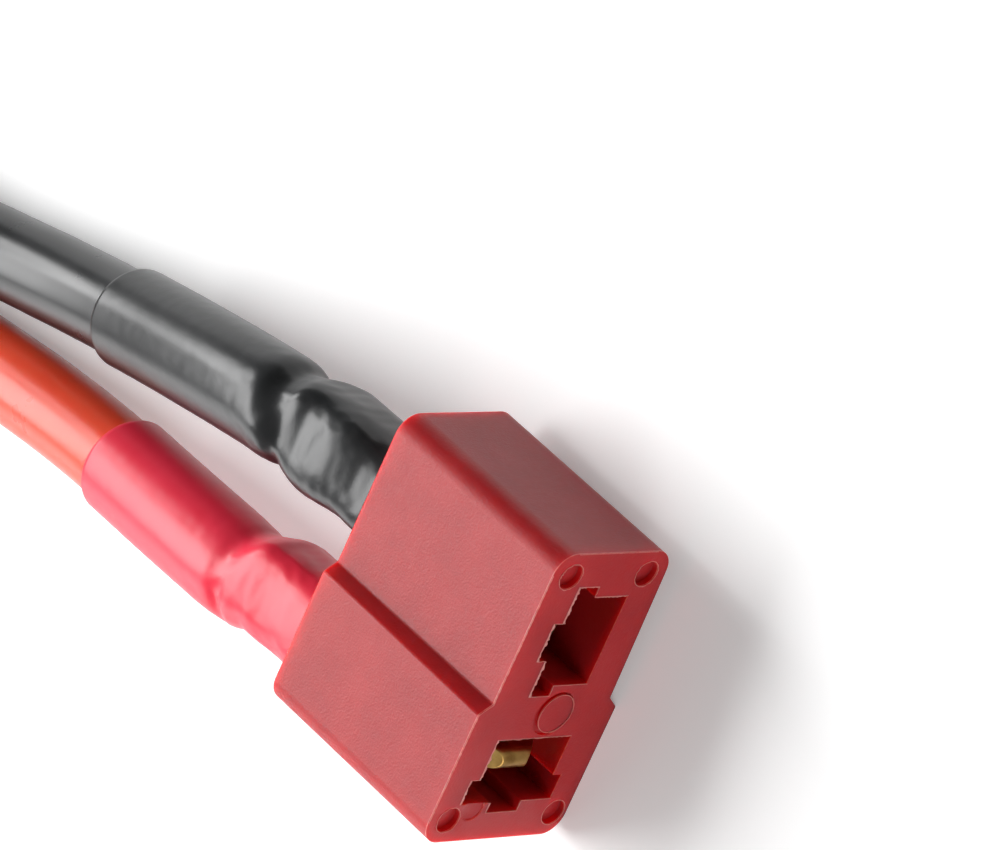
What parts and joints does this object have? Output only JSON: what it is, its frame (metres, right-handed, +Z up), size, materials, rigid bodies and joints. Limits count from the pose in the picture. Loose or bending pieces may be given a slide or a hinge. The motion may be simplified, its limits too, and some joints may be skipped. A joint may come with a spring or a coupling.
{
  "type": "t plug battery connector",
  "caption": "Female T-shaped battery plug in a stepped moulded housing, with sprung flat contacts set at right angles and a soldered, sleeved lead on each contact.",
  "frame": {"origin": "on the surface the plug rests on, under the middle of the housing and its solder tabs", "axes": "+Z up, out of the plug's upper broad face; -Y out of the mating face; +Y along the solder tabs towards the leads; +X towards the thin half, which holds the stem slot"},
  "size_m": [0.026, 0.1114, 0.0092],
  "materials": {
    "housing": "satin moulded nylon",
    "contact_brass": "bright, lightly tarnished",
    "spring_steel": "rolled strip",
    "solder_tin": "dull tin",
    "tinned_copper": "tinned strands",
    "red_silicone": "satin silicone",
    "black_silicone": "satin silicone",
    "red_sleeve": "shrunk polyolefin",
    "black_sleeve": "shrunk polyolefin"
  },
  "bodies": {
    "root": {"housing": "housing", "terminal_positive": "contact_brass", "terminal_negative": "contact_brass", "spring_positive": "spring_steel", "spring_negative": "spring_steel", "solder_positive": "solder_tin", "solder_negative": "solder_tin", "conductor_red": "tinned_copper", "conductor_black": "tinned_copper", "wire_red": "red_silicone", "wire_black": "black_silicone", "sleeve_red": "red_sleeve", "sleeve_black": "black_sleeve"}
  },
  "joints": []
}
